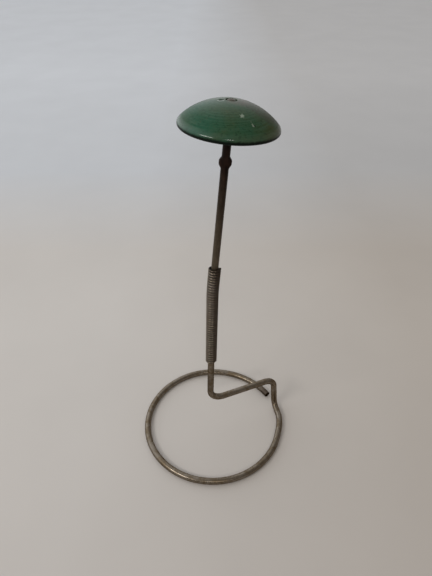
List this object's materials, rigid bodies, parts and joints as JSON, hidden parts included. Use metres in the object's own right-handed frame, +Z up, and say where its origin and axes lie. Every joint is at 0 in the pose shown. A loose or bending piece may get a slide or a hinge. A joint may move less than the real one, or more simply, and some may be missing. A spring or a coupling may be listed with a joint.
{
  "type": "display stand",
  "caption": "Small tabletop display stand: a green domed head on a dark rod, carried by a coil spring neck over a base of wire bent into a ring.",
  "frame": {"origin": "middle of the base ring's outline, on the surface that the stand rests on", "axes": "+Z up; -Y towards the front; +X towards the side where the wire rises from the ring, which is also the side that the head leans to"},
  "size_m": [0.1084, 0.105, 0.2487],
  "materials": {
    "base_steel": "bare drawn steel wire, dulled to a brownish grey",
    "spring_steel": "bare spring steel, darkened between the coils",
    "rod_steel": "dark brown oxide",
    "painted_wood": "worn dark green gloss paint",
    "burr_steel": "dull brown steel"
  },
  "bodies": {
    "base": {"base_wire": "base_steel"},
    "neck": {"neck_spring": "spring_steel"},
    "stem": {"stem_rod": "rod_steel", "head_dome": "painted_wood", "rivet_burr": "burr_steel"}
  },
  "joints": [
    {"name": "neck_side_lean", "type": "hinge", "parent": "base", "child": "neck", "pos_m": [0.00033, -0.00261, 0.13769], "axis": [0, 1, 0], "range_deg": [-30, 30], "stiffness_Nm_per_rad": 0.23, "springref_deg": -0.37, "deforming": ["neck_spring"]},
    {"name": "neck_fore_lean", "type": "hinge", "parent": "neck", "child": "stem", "pos_m": [0.00033, -0.00261, 0.13769], "axis": [1, 0, 0], "range_deg": [-30, 30], "stiffness_Nm_per_rad": 0.23, "springref_deg": 0.23, "deforming": ["neck_spring"]}
  ]
}
